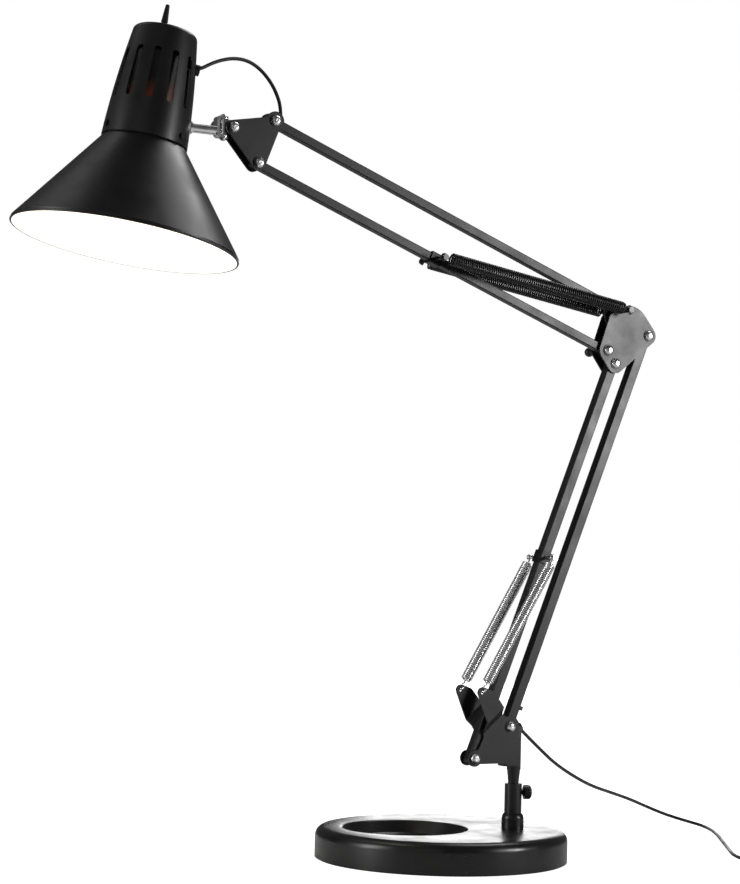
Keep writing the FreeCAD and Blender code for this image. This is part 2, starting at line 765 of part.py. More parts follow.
# ---- elbow --------------------------------------------------------------------------------------
def elbow_outline():
    x, z = elbow_rear
    return hull([(elbow_bottom[0], elbow_bottom[1], 8.4), (elbow_front[0], elbow_front[1], 8.0),
                 (x, z, 7.2), (x - 19.0, z + 4.3, 19.3), (elbow_top[0], elbow_top[1], 4.2),
                 (elbow_top[0] - 8.0, elbow_top[1] - 7.2, 4.6)])


def elbow_plate(side):
    ends = sorted((side * plate_gap, side * plate_outer))
    plate = prism(elbow_outline(), ends[0], ends[1])
    return cut(plate, [along_y(p, bolt_radius + 0.02, -30, 30)
                       for p in (elbow_rear, elbow_front, elbow_top, elbow_bottom)])


def anchor_bolt():
    """The long pin at the upper arm's top pivot; the upper springs hook on its ends."""
    return spring_pin(elbow_top, bolt_radius)


def elbow_knob():
    """A ball on a threaded stem that tightens the bottom pivot from the far side."""
    start = plate_outer + washer_wall + nut_height + 1.0 + 0.3
    place = elbow_bottom
    stem = along_y(place, knob_stem_radius, start, knob_reach)
    ball = Part.makeSphere(knob_ball_radius, V(place[0], knob_reach, place[1]))
    return fused([stem, ball])


# ---- head ---------------------------------------------------------------------------------------
def head_plate(side):
    ends = sorted((side * plate_gap, side * plate_outer))
    body = prism(hull([(clamp[0], clamp[1], clamp_lobe_radius), (head_bottom[0], head_bottom[1], 5.6),
                       (head_top[0] + 0.5, head_top[1] - 1.0, 4.6)]), ends[0], ends[1])
    plate = fused([body, along_y(head_top, 7.2, ends[0], ends[1])])
    return cut(plate, [along_y(p, bolt_radius + 0.02, -30, 30) for p in (clamp, head_top, head_bottom)])


def clamp_bolt():
    """The clamp bolt carries the wing nut on its far end, so its shank is longer."""
    return bolt(clamp, -plate_outer - washer_wall, plate_outer + washer_wall + wing_hub_height + 1.5)


def wing_nut():
    low = plate_outer + washer_wall + 0.3
    hub = turned_y([(0, low), (wing_hub_radius, low), (wing_hub_radius * 0.8, low + wing_hub_height),
                    (0, low + wing_hub_height)], clamp)
    wings = []
    for side in (-1, 1):
        flank = Part.makePolygon([V(side * p[0], p[1], 0) for p in (
            (2.0, low + 0.5), (wing_radius - 2.5, low + 1.6), (wing_radius, low + 4.2),
            (wing_radius - 1.0, low + wing_tip_height), (wing_radius - 3.6, low + wing_tip_height),
            (3.0, low + wing_hub_height - 0.4), (2.0, low + 0.5))])
        wing = Part.Face(flank).extrude(V(0, 0, wing_wall))
        wing.translate(V(0, 0, -wing_wall / 2))
        wing.rotate(V(0, 0, 0), V(0, 1, 0), -wing_turn)
        wing.translate(V(clamp[0], 0, clamp[1]))
        wings.append(wing)
    nut = fused([hub] + wings)
    return nut.cut(along_y(clamp, bolt_radius + running_gap, 0, 60))


def swivel_barrel():
    """The barrel clamped between the head plates, with a nose that holds the pan pin."""
    barrel = along_y(clamp, barrel_radius, -barrel_half, barrel_half)
    low = clamp[1] - nose_half_height
    nose = Part.makeCylinder(fork_radius - 0.6, 2 * nose_half_height, V(pan_x, 0, low))
    width = 2 * (fork_radius - 0.6)
    neck = Part.makeBox(pan_step, width, 2 * nose_half_height, V(pan_x, -width / 2, low))
    neck = neck.common(along_y((clamp[0] - 3.0, clamp[1]), nose_half_height + 2.2, -10, 10))
    body = fused([barrel, nose, neck])
    body = body.cut(along_y(clamp, bolt_radius + running_gap, -20, 20))
    return body.cut(Part.makeCylinder(pan_pin_radius + 0.02, 60, V(pan_x, 0, low - 20)))


def pan_pin():
    low = clamp[1] - nose_half_height - fork_gap - fork_wall - 0.2
    high = clamp[1] + nose_half_height + fork_gap + fork_wall + 0.2
    shank = Part.makeCylinder(pan_pin_radius, high - low, V(pan_x, 0, low))
    heads = []
    for place, way in ((high, 1), (low, -1)):
        head = turned([(0, 0), (pan_head_radius, 0), (pan_head_radius, 0.5),
                       (pan_head_radius * 0.72, pan_head_height * 0.8, True), (dome_flat, pan_head_height),
                       (0, pan_head_height)])
        if way < 0:
            head.rotate(V(0, 0, 0), V(1, 0, 0), 180)
        head.translate(V(pan_x, 0, place))
        heads.append(head)
    return fused([shank] + heads)


def shade_rod():
    """The fork round the swivel's nose, its web, and the rod to the shade."""
    middle = clamp[1]
    inner = nose_half_height + fork_gap
    web_out = pan_x - fork_reach
    pieces = []
    for low in (middle + inner, middle - inner - fork_wall):
        arm = Part.makeCylinder(fork_radius, fork_wall, V(pan_x, 0, low))
        strap = Part.makeBox(fork_reach, 2 * fork_radius, fork_wall, V(web_out, -fork_radius, low))
        pieces += [arm, strap]
    web = Part.makeBox(fork_wall, 2 * fork_radius, 2 * (inner + fork_wall), V(web_out, -fork_radius,
                                                                             middle - inner - fork_wall))
    pieces.append(web)
    axis = V(pan_x - neck_reach, 0, rod_z)
    wall = neck_wall(rod_place) / math.cos(tilt)
    inside = wall - sheet_wall - rod_nut_height - 2.5
    pieces.append(rod(V(web_out + 0.5, 0, rod_z), V(axis.x + inside, 0, rod_z), rod_radius))
    fork = fused(pieces)
    bends = [e for e in fork.Edges if e.BoundBox.XLength < 0.01 and e.BoundBox.ZLength < 0.01
             and abs(e.BoundBox.XMin - web_out) < 0.01 and e.BoundBox.YLength > fork_radius]
    fork = fork.makeFillet(fork_wall + 0.6, bends)
    hole = Part.makeCylinder(pan_pin_radius + running_gap, 60, V(pan_x, 0, middle - 30))
    collar = Part.makeCylinder(rod_collar_radius, rod_collar_height, V(axis.x + wall + 0.9, 0, rod_z), V(1, 0, 0))
    return fork.fuse(collar).cut(hole).removeSplitter()


def rod_nut():
    axis = V(pan_x - neck_reach, 0, rod_z)
    wall = neck_wall(rod_place) / math.cos(tilt)
    start = axis.x + wall - sheet_wall - rod_nut_height - 1.5
    nut = hexagon(rod_nut_flats, rod_nut_height)
    nut.rotate(V(0, 0, 0), V(0, 1, 0), 90)
    nut.translate(V(start, 0, rod_z))
    return nut.cut(rod(V(start - 5, 0, rod_z), V(start + 20, 0, rod_z), rod_radius + 0.02))


# ---- shade --------------------------------------------------------------------------------------
def shade_cone():
    """Spun aluminium cone with a short band and a rolled bead at the rim and a collar at the top."""
    w = sheet_wall
    top = cone_height + collar_height
    collar = neck_wall(top) - w - 0.15
    knee = cone_height - 0.2
    cone = turned([(rim_radius, 0), (rim_radius, rim_band), (collar, knee), (collar, top), (collar - w, top),
                   (collar - w, knee - 0.6), (rim_radius - w, rim_band - 0.6), (rim_radius - w, 0)])
    bead = Part.makeTorus(rim_radius - w / 2, rim_bead_radius, V(0, 0, 0), V(0, 0, 1))
    return shade_place(cone.fuse(bead).removeSplitter())


def shell_outline(inset):
    top = neck_top - inset
    edge = neck_round - inset
    middle_height = (cone_height + neck_top - neck_round) / 2
    return [(neck_radius - inset, cone_height), (neck_wall(middle_height) - inset, middle_height, True),
            (neck_top_radius - inset, neck_top - neck_round),
            (neck_top_radius - inset - edge * (1 - math.sin(math.pi / 4)),
             neck_top - neck_round + edge * math.sin(math.pi / 4), True),
            (neck_top_radius - inset - edge, top), (0, top)]


def neck_cover():
    outer = turned([(0, cone_height)] + shell_outline(0))
    inner = turned([(0, cone_height - 1), (neck_radius - sheet_wall, cone_height - 1)] + shell_outline(sheet_wall))
    shell = outer.cut(inner)
    low, high = cone_height + slot_low + slot_width / 2, cone_height + slot_high - slot_width / 2
    slot = Part.makeBox(slot_width, 40, high - low, V(-slot_width / 2, 10, low))
    for height in (low, high):
        slot = slot.fuse(Part.makeCylinder(slot_width / 2, 40, V(0, 10, height), V(0, 1, 0)))
    for i in range(slot_count):
        tool = slot.copy()
        tool.rotate(V(0, 0, 0), V(0, 0, 1), slot_first - 90 + i * 360 / slot_count)
        shell = shell.cut(tool)
    for i in range(3):
        way = around(neck_screw_turn + 120 * i)
        shell = shell.cut(rod(V(0, 0, neck_screw_place) + way * 20, V(0, 0, neck_screw_place) + way * 40,
                              neck_screw_radius + 0.02))
    way = around(grommet_turn)
    shell = shell.cut(rod(V(0, 0, grommet_place) + way * 15, V(0, 0, grommet_place) + way * 40,
                          grommet_radius - 1.2 + 0.02))
    shell = shell.cut(Part.makeCylinder(switch_bush_radius + 0.1, 20, V(switch_offset, 0, neck_top - 10)))
    shell = shade_place(shell)
    return shell.cut(rod(V(pan_x - neck_reach, 0, rod_z), V(pan_x, 0, rod_z), rod_radius + 0.05))


def around(turn):
    return V(math.cos(math.radians(turn)), math.sin(math.radians(turn)), 0)


def neck_screws():
    """Three self-tapping screws through the neck cover into the cone's collar."""
    screws = []
    wall = neck_wall(neck_screw_place)
    for i in range(3):
        way = around(neck_screw_turn + 120 * i)
        shank = rod(V(0, 0, neck_screw_place) + way * (wall - sheet_wall - 0.05), V(0, 0, neck_screw_place)
                    + way * (wall + 0.6), neck_screw_radius)
        head = rod(V(0, 0, neck_screw_place) + way * (wall + 0.4), V(0, 0, neck_screw_place) + way * (wall + 1.5),
                   neck_screw_head_radius)
        screws.append(shade_place(fused([shank, head])))
    return Part.makeCompound(screws)


def neck_grommet():
    """A rubber ring with a groove that grips the neck's wall."""
    way = around(grommet_turn)
    centre = V(0, 0, grommet_place)
    wall = neck_wall(grommet_place)
    ring = rod(centre + way * (wall - grommet_proud), centre + way * (wall + grommet_proud), grommet_radius)
    band = turned([(0, cone_height)] + shell_outline(-0.05)).cut(
        turned([(0, cone_height - 1), (neck_radius - sheet_wall - 0.05, cone_height - 1)]
               + shell_outline(sheet_wall + 0.05)))
    band = band.cut(rod(centre + way * 15, centre + way * 45, grommet_radius - 1.2))
    flare = Part.makeCone(cord_radius + 0.05, cord_radius + 1.6, grommet_proud + 1.6, centre + way * (wall - 1.6), way)
    ring = ring.cut(band).cut(rod(centre + way * 10, centre + way * 45, cord_radius + 0.05)).cut(flare)
    return shade_place(ring)


def lampholder():
    """A plastic cup for the bulb's cap, held against the switch under the neck's top."""
    low, high = holder_low, holder_high
    floor = low + bulb_cap_length + 6
    body = turned([(0, high), (0, floor), (holder_bore, floor), (holder_bore, low), (holder_radius, low),
                   (holder_radius, high - 4), (holder_radius - 4, high)])
    return shade_place(body)


def bulb_cap():
    low = holder_low + 4
    cap = turned([(0, low), (bulb_cap_radius, low), (bulb_cap_radius, low + bulb_cap_length - 6),
                  (bulb_cap_radius * 0.6, low + bulb_cap_length - 2), (4, low + bulb_cap_length),
                  (0, low + bulb_cap_length)])
    return shade_place(cap)


def bulb_glass():
    top = holder_low + 4
    c, r = bulb_centre, bulb_radius
    turn = math.radians(48)
    shoulder = (r * math.cos(turn), c + r * math.sin(turn))
    neck = bulb_cap_radius - 0.6

    def outline(inset):
        size = r - inset
        side = (size * math.cos(turn), c + size * math.sin(turn))
        edge = neck - inset
        bend = ((side[0] + edge) / 2 - 1.2, (side[1] + top) / 2 - 1.6, True)
        return [(0, c - size), (dome_flat, c - size),
                (size * math.cos(math.radians(-21)), c + size * math.sin(math.radians(-21)), True),
                side, bend, (edge, top), (0, top)]

    glass = turned(outline(0)).cut(turned(outline(bulb_wall)))
    return shade_place(glass)


def switch_body():
    """The toggle switch under the neck's top, with its threaded bush and ring nut."""
    low = neck_top - sheet_wall - switch_height
    half = switch_width / 2
    body = Part.makeBox(switch_width, switch_width * 0.8, switch_height - 0.05,
                        V(switch_offset - half, -half * 0.8, low))
    bush = Part.makeCylinder(switch_bush_radius, switch_bush_height + 3, V(switch_offset, 0, neck_top - 3))
    nut = hexagon(2 * switch_bush_radius + 3.4, 1.8)
    nut.translate(V(switch_offset, 0, neck_top + 0.05))
    well = turned([(0, neck_top + switch_bush_height - 4), (1.2, neck_top + switch_bush_height - 4),
                   (switch_bush_radius - 0.5, neck_top + switch_bush_height + 1),
                   (0, neck_top + switch_bush_height + 1)], V(switch_offset, 0, 0))
    return shade_place(fused([body, bush, nut]).cut(well))


def switch_lever():
    """The toggle's lever in its tapered sleeve, with the cross pin it turns on in the bush's well."""
    bush_top = neck_top + switch_bush_height
    root = bush_top - 3.6
    sleeve = bush_top + lever_sleeve_start
    tip = sleeve + lever_length
    lever = turned([(0, root), (lever_root_radius * 0.8, root), (lever_root_radius, root + 4),
                    (lever_root_radius, sleeve), (lever_sleeve_radius - 0.5, sleeve),
                    (lever_sleeve_radius, sleeve + 0.8), (lever_tip_radius, tip - 1.4),
                    (lever_tip_radius * 0.8, tip - 0.35, True), (dome_flat, tip), (0, tip)],
                   V(switch_offset, 0, 0))
    pin = Part.makeCylinder(lever_pin_radius, 2 * lever_pin_reach, V(switch_offset - lever_pin_reach, 0, root),
                            V(1, 0, 0))
    return shade_place(fused([lever, pin]))


# ---- cords --------------------------------------------------------------------------------------
def plain_tube(name, points, radius):
    edges, radii = route_edges(points)
    solid = tube(edges, radius)
    length = sum(e.Length for e in edges)
    print(name, "length", round(length, 1), "least radius", round(min(radii), 1), "radii",
          [round(r) for r in radii], "volume over section times length",
          round(solid.Volume / (length * math.pi * radius ** 2), 4))
    return solid


def on_bar(start, way, along, up):
    """A point in a bar: along it from its first pivot, and above its centre line."""
    normal = (-way[1], way[0])
    place = add(add(start, way, along), normal, up)
    return V(place[0], 0, place[1])


def head_cord_loop():
    """From the lamp holder through the grommet, up and over, into the upper arm's top bar."""
    way = around(grommet_turn)
    ends = []
    for radius in (holder_radius + 0.4, neck_wall(grommet_place) + grommet_proud + 0.6):
        point = Part.Vertex(V(0, 0, grommet_place) + way * radius)
        ends.append(shade_place(point).Point)
    shares = [(-1.0, -1.0, 0.845), (-0.809, -0.654, 0.942), (-0.611, -0.385, 1.0), (-0.407, -0.173, 0.991),
              (-0.222, 0.0, 0.894), (-0.067, 0.0, 0.724), (0.048, 0.0, 0.524)]
    free = [V(head_top[0] + x * loop_reach, y * loop_aside, head_top[1] + z * loop_height) for x, y, z in shares]
    hole = on_bar(head_top, to_elbow, loop_end_place, 0)
    over, into = hole + V(0, 0, 14.4), hole + V(0, 0, 2.3)
    points = [V(*ends[0]), V(*ends[1])] + free + [over, into]
    return plain_tube("head cord loop", points, cord_radius)


def upper_cord_run():
    """Inside the upper arm's top bar, from near the head to near the elbow."""
    low = on_bar(head_top, to_elbow, 12.0, -0.6)
    high = on_bar(head_top, to_elbow, arm_length - 22.0, -0.6)
    return rod(low, high, cord_radius)


def lower_cord_run():
    """Inside the rear lower bar, from near the elbow to near the lower bracket."""
    low = on_bar(rear_pivot, lower_way, 14.0, 0.0)
    high = on_bar(rear_pivot, lower_way, arm_length - 14.9, 0.0)
    return rod(low, high, cord_radius)


def elbow_cord_bridge():
    """The short stretch of cord between the two bars, in the elbow."""
    points = [on_bar(head_top, to_elbow, arm_length - 13.0, 0.6), on_bar(head_top, to_elbow, arm_length - 12.6, -8.0),
              on_bar(elbow_rear, lower_way, -15.0, 27.0), on_bar(elbow_rear, lower_way, -19.5, 17.0),
              on_bar(elbow_rear, lower_way, -13.2, 10.0), on_bar(elbow_rear, lower_way, -12.6, 0.6)]
    return plain_tube("elbow cord", points, cord_radius)


cord_exit = V(7.0, 2.0, 102.6)
cord_route = [(20.4, 11.4, 95.2), (38.5, 21.4, 84.4), (62.5, 36.2, 71.2), (93.0, 55.6, 58.6),
              (129.0, 79.6, 46.2), (170.0, 108.6, 36.2), (211.0, 137.6, 26.0), (243.0, 155.0, 16.0),
              (266.0, 158.0, 8.0), (280.0, 146.0, 3.2), (282.0, 125.0, 1.5), (272.0, 99.5, 1.5),
              (254.0, 66.0, 1.5), (229.5, 27.0, 1.5), (204.0, -14.5, 1.5), (177.0, -58.0, 1.5)]


def cord_gland():
    """A rubber block on the foot, with a short nose that points along the cord."""
    way = (V(*cord_route[0]) - cord_exit).normalize()
    block = Part.makeBox(5.2, 2 * plate_gap - 0.4, 8.4, V(foot_rear - 5.0, -plate_gap + 0.2, foot_top + 0.02))
    nose = Part.makeCone(3.3, 2.4, 6.2, cord_exit - way * (6.2 + cord_gap), way)
    return fused([block, nose])


def coil_stations():
    """Points and directions of the put-away turns: in and out again, a layer at a time."""
    total = coil_turns * coil_layers - coil_short
    outer = coil_inner_radius + coil_turns * coil_pitch

    def place(turns):
        phase = turns % (2 * coil_turns)
        inward = phase if phase <= coil_turns else 2 * coil_turns - phase
        layer = 0.0
        for k in range(1, coil_layers):
            layer += min(1.0, max(0.0, (turns - k * coil_turns + 0.25) / 0.5))
        turn = coil_start_turn + 2 * math.pi * turns
        radius = outer - coil_pitch * inward
        return V(coil_centre[0] + radius * math.cos(turn), coil_centre[1] + radius * math.sin(turn),
                 cord_radius + 0.1 + coil_pitch * layer)

    stations = []
    for i in range(round(4 * total) + 1):
        here = i / 4
        stations.append((place(here), (place(here + 0.06) - place(here - 0.06)).normalize()))
    return stations


coil_start_turn = math.radians(150)


def coil_path():
    stations = coil_stations()
    (start, way), (end, out) = stations[0], stations[-1]
    lead_in = V(way.x, way.y, 0).normalize()
    lead_out = V(out.x, out.y, 0).normalize()
    stations[0] = (start, lead_in)
    stations[-1] = (end, lead_out)
    before = (start - lead_in * (2 * cord_radius), lead_in)
    after = (end + lead_out * (2 * cord_radius), lead_out)
    return biarcs([before] + stations + [after]), before, after


def mains_cord():
    edges, before, after = coil_path()
    points = [cord_exit] + [V(*p) for p in cord_route]
    entry, way = before
    points += [entry - way * 26.0, entry]
    return plain_tube("mains cord", points, cord_radius)


def cord_coil():
    edges, before, after = coil_path()
    length = sum(e.Length for e in edges)
    print("cord coil length", round(length, 1), "least gap to itself",
          round(least_gap(edges, cord_radius, 6 * cord_radius), 2))
    return tube(edges, cord_radius)


def plug_pose():
    """Where the tail of cord ends, and the way that the plug points."""
    edges, before, after = coil_path()
    end, way = after
    side = V(-way.y, way.x, 0)
    tail = [end, end + way * 12 - V(0, 0, 1.0), end + way * 24 - side * 1.5 - V(0, 0, 4.0),
            end + way * 36 - side * 4.0 + V(0, 0, 7.0 - end.z)]
    out = tail[-1] - tail[-2]
    out = V(out.x, out.y, 0).normalize()
    tail.append(tail[-1] + out * 11)
    return tail, out


def plug_tail():
    tail, out = plug_pose()
    return plain_tube("plug tail", tail, cord_radius)


def plug_body():
    """A moulded two-pin plug: a tapered relief, then a body that lies on the table."""
    tail, out = plug_pose()
    relief = Part.makeCone(3.0, 4.6, 20.0, V(0, 0, 0), V(1, 0, 0))
    half_w, half_h = plug_body_width / 2, plug_body_height / 2
    body = Part.makeBox(plug_body_length, plug_body_width, plug_body_height, V(20, -half_w, -half_h))
    body = body.makeFillet(4.0, [e for e in body.Edges if abs(e.BoundBox.XLength - plug_body_length) < 0.01])
    body = body.makeFillet(2.0, [e for e in body.Edges if e.BoundBox.XMax < 20.01])
    plug = fused([relief, body])
    return lay_plug(plug, tail[-1], out)


def plug_pins():
    tail, out = plug_pose()
    pins = []
    for side in (-1, 1):
        pins.append(Part.makeBox(plug_pin_length, plug_pin_wall, plug_pin_width,
                                 V(20 + plug_body_length, side * plug_pin_spacing / 2 - plug_pin_wall / 2,
                                   -plug_pin_width / 2)))
    return lay_plug(Part.makeCompound(pins), tail[-1], out)


def lay_plug(shape, place, way):
    shape.rotate(V(0, 0, 0), V(0, 0, 1), math.degrees(math.atan2(way.y, way.x)))
    shape.translate(V(place.x, place.y, place.z))
    return shape


# ---- every piece --------------------------------------------------------------------------------
bracket_pivots = (rear_pivot, front_pivot)
elbow_pivots = (elbow_rear, elbow_front, elbow_bottom)
head_pivots = (head_top, head_bottom)
low_fit = bolt_radius + running_gap
open_fit = bolt_radius + open_pivot_gap
lower_w, upper_w = lower_bar_width, upper_bar_width

pieces = {
    "base_cover": base_cover(),
    "base_weight": base_weight(),
    "base_pad": base_pad(),
    "post_socket": post_socket(),
    "socket_nut": socket_nut(),
    "thumb_screw": thumb_screw(),
    "turret_foot": turret_foot(),
    "bracket_plate_near": bracket_plate(-1),
    "bracket_plate_far": bracket_plate(1),
    "bracket_bolts": bolts(bracket_pivots),
    "bracket_nuts": nuts(bracket_pivots),
    "bracket_washers": washers([(p, lower_w) for p in bracket_pivots], bracket_pivots),
    "cord_gland": cord_gland(),
    "rear_lower_bar": rear_bar(),
    "front_lower_bar": bar(front_pivot, lower_way, lower_w, (low_fit, open_fit), [], lower_clip_place),
    "lower_spring_clip": spring_clip(lower_pin, lower_way, lower_w),
    "lower_spring_pin": spring_pin(lower_pin, pin_radius),
    "lower_springs": lower_springs(),
    "elbow_plate_near": elbow_plate(-1),
    "elbow_plate_far": elbow_plate(1),
    "elbow_bolts": bolts(elbow_pivots),
    "elbow_nuts": nuts(elbow_pivots),
    "elbow_washers": washers([(elbow_rear, lower_w), (elbow_front, lower_w), (elbow_top, upper_w),
                              (elbow_bottom, upper_w)], elbow_pivots),
    "spring_anchor_bolt": anchor_bolt(),
    "elbow_knob": elbow_knob(),
    "upper_top_bar": bar(head_top, to_elbow, upper_w, (low_fit, low_fit),
                         [(loop_end_place, 1, -rise), (arm_length - 12.8, -1, 0)], None),
    "upper_bottom_bar": bar(elbow_bottom, upper_way, upper_w, (low_fit, open_fit), [], upper_clip_place),
    "upper_spring_clip": spring_clip(upper_pin, upper_way, upper_w),
    "upper_spring_pin": spring_pin(upper_pin, pin_radius),
    "upper_springs": upper_springs(),
    "head_plate_near": head_plate(-1),
    "head_plate_far": head_plate(1),
    "head_bolts": bolts(head_pivots),
    "head_nuts": nuts(head_pivots),
    "head_washers": washers([(p, upper_w) for p in head_pivots], head_pivots + (clamp,)),
    "head_clamp_bolt": clamp_bolt(),
    "head_wing_nut": wing_nut(),
    "swivel_barrel": swivel_barrel(),
    "pan_pin": pan_pin(),
    "shade_rod": shade_rod(),
    "rod_nut": rod_nut(),
    "shade_cone": shade_cone(),
    "neck_cover": neck_cover(),
    "neck_screws": neck_screws(),
    "neck_grommet": neck_grommet(),
    "lampholder": lampholder(),
    "bulb_cap": bulb_cap(),
    "bulb_glass": bulb_glass(),
    "switch_body": switch_body(),
    "switch_lever": switch_lever(),
    "head_cord_loop": head_cord_loop(),
    "upper_cord_run": upper_cord_run(),
    "elbow_cord_bridge": elbow_cord_bridge(),
    "lower_cord_run": lower_cord_run(),
    "mains_cord": mains_cord(),
    "cord_coil": cord_coil(),
    "plug_tail": plug_tail(),
    "plug_body": plug_body(),
    "plug_pins": plug_pins(),
}

for name, shape in pieces.items():
    shape.exportStep("parts/" + name + ".step")
print(len(pieces), "nodes")
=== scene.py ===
import bmesh
import bpy
import math
from mathutils import Matrix, Vector


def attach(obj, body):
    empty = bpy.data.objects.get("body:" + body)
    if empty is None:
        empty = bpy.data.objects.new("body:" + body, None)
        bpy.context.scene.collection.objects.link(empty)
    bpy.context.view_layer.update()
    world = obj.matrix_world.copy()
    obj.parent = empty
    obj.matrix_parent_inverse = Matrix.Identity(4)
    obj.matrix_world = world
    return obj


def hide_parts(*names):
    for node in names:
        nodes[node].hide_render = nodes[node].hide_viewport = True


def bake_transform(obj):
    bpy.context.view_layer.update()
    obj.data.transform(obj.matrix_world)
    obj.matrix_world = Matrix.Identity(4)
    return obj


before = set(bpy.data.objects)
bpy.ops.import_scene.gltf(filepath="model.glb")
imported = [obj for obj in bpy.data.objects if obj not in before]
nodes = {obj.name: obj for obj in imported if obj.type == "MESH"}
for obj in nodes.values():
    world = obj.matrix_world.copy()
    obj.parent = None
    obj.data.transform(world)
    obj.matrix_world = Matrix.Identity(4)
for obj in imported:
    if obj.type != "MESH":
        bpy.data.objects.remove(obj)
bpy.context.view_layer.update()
scene = bpy.context.scene

# ---- camera ----------------------------------------------------------------------------------
# The photograph was taken from the front left, a little above the base and looking slightly up.
# Its place, turn and lens were solved from the lamp's pivots and circles in the picture.
camera_data = bpy.data.cameras.new("camera")
camera_data.lens = 94.41
camera_data.sensor_width = 36.0
camera_data.clip_end = 50.0
camera = bpy.data.objects.new("camera", camera_data)
camera.location = (-1.00049, -1.57211, 0.24664)
camera.rotation_euler = [math.radians(a) for a in (92.5561, -1.3623, -28.8176)]
scene.collection.objects.link(camera)
scene.camera = camera

# ---- mains cord ------------------------------------------------------------------------------
# A thin round two-core cord in soft black PVC, held by the gland on the turret. It hangs from
# there, lies on the table and is put away past the picture's edge as a coil in four layers,
# with its plug beside it.
cord_radius = 0.0014


def link(obj):
    scene.collection.objects.link(obj)
    return obj


def paint(material, *names):
    """Gives CAD nodes a material."""
    for name in names:
        data = nodes[name].data
        if not data.materials:
            data.materials.append(material)
        for i in range(len(data.materials)):
            data.materials[i] = material


def metres(points):
    """Points in mm, turned into metres."""
    return [(x / 1000, y / 1000, z / 1000) for x, y, z in points]


def curve_object(name, kind, points):
    """A curve object with one open spline on the points."""
    curve = bpy.data.curves.new(name, "CURVE")
    curve.dimensions = "3D"
    spline = curve.splines.new(kind)
    spline.points.add(len(points) - 1)
    for point, place in zip(spline.points, points):
        point.co = (*place, 1.0)
    return link(bpy.data.objects.new(name, curve))


def read_line(points):
    """Close points along the NURBS line that has the given points as its control points."""
    line = curve_object("line", "NURBS", points)
    line.data.resolution_u = 12
    line.data.splines[0].order_u = 3
    line.data.splines[0].use_endpoint_u = True
    mesh = bpy.data.meshes.new_from_object(line)
    path = [v.co.copy() for v in mesh.vertices]
    bpy.data.objects.remove(line)
    bpy.data.meshes.remove(mesh)
    return path


def smooth_object(name, mesh):
    """An object with a smoothly shaded mesh."""
    for polygon in mesh.polygons:
        polygon.use_smooth = True
    return link(bpy.data.objects.new(name, mesh))


def sweep(name, path, radius, sides=12):
    """A round tube with closed ends along the points of a path."""
    line = curve_object(name, "POLY", path)
    line.data.bevel_depth = radius
    line.data.bevel_resolution = sides // 4
    line.data.use_fill_caps = True
    mesh = bpy.data.meshes.new_from_object(line)
    bpy.data.objects.remove(line)
    mesh.name = name
    return smooth_object(name, mesh)


def grain_group():
    """Fine random variation: a bump height, a roughness and a tint mask, from noise in metres."""
    group = bpy.data.node_groups.new("fine grain", "ShaderNodeTree")
    for label, default in (("Size", 0.001), ("Rough low", 0.3), ("Rough high", 0.4)):
        socket = group.interface.new_socket(name=label, in_out="INPUT",
                                            socket_type="NodeSocketFloat")
        socket.default_value = default
    for label in ("Height", "Roughness", "Mask"):
        group.interface.new_socket(name=label, in_out="OUTPUT", socket_type="NodeSocketFloat")
    make, join = group.nodes.new, group.links.new
    entry, leave = make("NodeGroupInput"), make("NodeGroupOutput")
    place = make("ShaderNodeTexCoord")
    scale = make("ShaderNodeMath")
    scale.operation = "DIVIDE"
    scale.inputs[0].default_value = 1.0
    join(entry.outputs["Size"], scale.inputs[1])
    fine = make("ShaderNodeTexNoise")
    fine.inputs["Detail"].default_value = 3.0
    join(place.outputs["Object"], fine.inputs["Vector"])
    join(scale.outputs[0], fine.inputs["Scale"])
    broad = make("ShaderNodeTexNoise")
    broad.inputs["Scale"].default_value = 38.0
    broad.inputs["Detail"].default_value = 5.0
    join(place.outputs["Object"], broad.inputs["Vector"])
    spread = make("ShaderNodeMapRange")
    spread.inputs["From Min"].default_value = 0.35
    spread.inputs["From Max"].default_value = 0.68
    join(broad.outputs["Fac"], spread.inputs["Value"])
    join(entry.outputs["Rough low"], spread.inputs["To Min"])
    join(entry.outputs["Rough high"], spread.inputs["To Max"])
    join(fine.outputs["Fac"], leave.inputs["Height"])
    join(spread.outputs["Result"], leave.inputs["Roughness"])
    join(broad.outputs["Fac"], leave.inputs["Mask"])
    return group


fine_grain = grain_group()


def surface(name, colour, second, rough, size, bump, metallic=0.0, specular=0.5):
    """A painted, plated or moulded surface: two close colours, a range of roughness and a bump
    whose grains have the given size in metres."""
    material = bpy.data.materials.new(name)
    material.use_nodes = True
    make, join = material.node_tree.nodes.new, material.node_tree.links.new
    shader = material.node_tree.nodes["Principled BSDF"]
    shader.inputs["Metallic"].default_value = metallic
    shader.inputs["Specular IOR Level"].default_value = specular
    grain = make("ShaderNodeGroup")
    grain.node_tree = fine_grain
    grain.inputs["Size"].default_value = size
    grain.inputs["Rough low"].default_value = rough[0]
    grain.inputs["Rough high"].default_value = rough[1]
    tint = make("ShaderNodeMix")
    tint.data_type = "RGBA"
    tint.inputs["A"].default_value = (*colour, 1.0)
    tint.inputs["B"].default_value = (*second, 1.0)
    join(grain.outputs["Mask"], tint.inputs["Factor"])
    join(tint.outputs["Result"], shader.inputs["Base Color"])
    join(grain.outputs["Roughness"], shader.inputs["Roughness"])
    relief = make("ShaderNodeBump")
    relief.inputs["Strength"].default_value = bump
    relief.inputs["Distance"].default_value = size * 0.2
    join(grain.outputs["Height"], relief.inputs["Height"])
    join(relief.outputs["Normal"], shader.inputs["Normal"])
    return material


